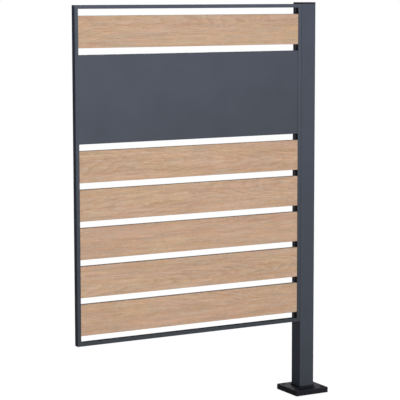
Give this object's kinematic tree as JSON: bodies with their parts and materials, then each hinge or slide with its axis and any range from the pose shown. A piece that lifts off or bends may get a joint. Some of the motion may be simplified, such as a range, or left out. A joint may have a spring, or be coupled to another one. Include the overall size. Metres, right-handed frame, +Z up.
{
  "type": "bin screen",
  "caption": "Slatted screen panel of wooden boards and one wide metal board in a thin channel frame, held beside a single square post with a bolt-down foot.",
  "frame": {"origin": "on the ground at the centre of the foot's underside, on the post's axis", "axes": "+Z up along the post, +X along the panel from its free end towards the post and past it, -Y out of the front face"},
  "size_m": [1.009, 0.14, 1.454],
  "materials": {
    "anthracite_post": "fine-textured anthracite powder coat",
    "anthracite_frame": "fine-textured anthracite powder coat",
    "anthracite_panel": "smooth matt anthracite powder coat",
    "oak": "light oak, fine straight grain, matt oiled",
    "black_plastic": "black, semi-gloss moulded",
    "black_inner": "black, matt moulded",
    "zinc_steel": "hot-dip galvanised",
    "screw_steel": "zinc-plated and black-passivated, dull"
  },
  "bodies": {
    "root": {"post": "anthracite_post", "post_cap": "black_plastic", "foot_plate": "zinc_steel", "foot_spigot": "zinc_steel", "foot_cover": "black_plastic", "foot_screws": "screw_steel", "stile_left": "anthracite_frame", "stile_right": "anthracite_frame", "rail_top": "anthracite_frame", "rail_bottom": "anthracite_frame", "cleat_top_left": "black_inner", "cleat_top_right": "black_inner", "cleat_bottom_left": "black_inner", "cleat_bottom_right": "black_inner", "corner_screws": "screw_steel", "wide_panel": "anthracite_panel", "slat_1": "oak", "slat_2": "oak", "slat_3": "oak", "slat_4": "oak", "slat_5": "oak", "slat_6": "oak", "spacer_left_1": "black_inner", "spacer_left_2": "black_inner", "spacer_left_3": "black_inner", "spacer_left_4": "black_inner", "spacer_left_5": "black_inner", "spacer_left_6": "black_inner", "spacer_right_1": "black_inner", "spacer_right_2": "black_inner", "spacer_right_3": "black_inner", "spacer_right_4": "black_inner", "spacer_right_5": "black_inner", "spacer_right_6": "black_inner", "post_screws": "screw_steel"}
  },
  "joints": []
}
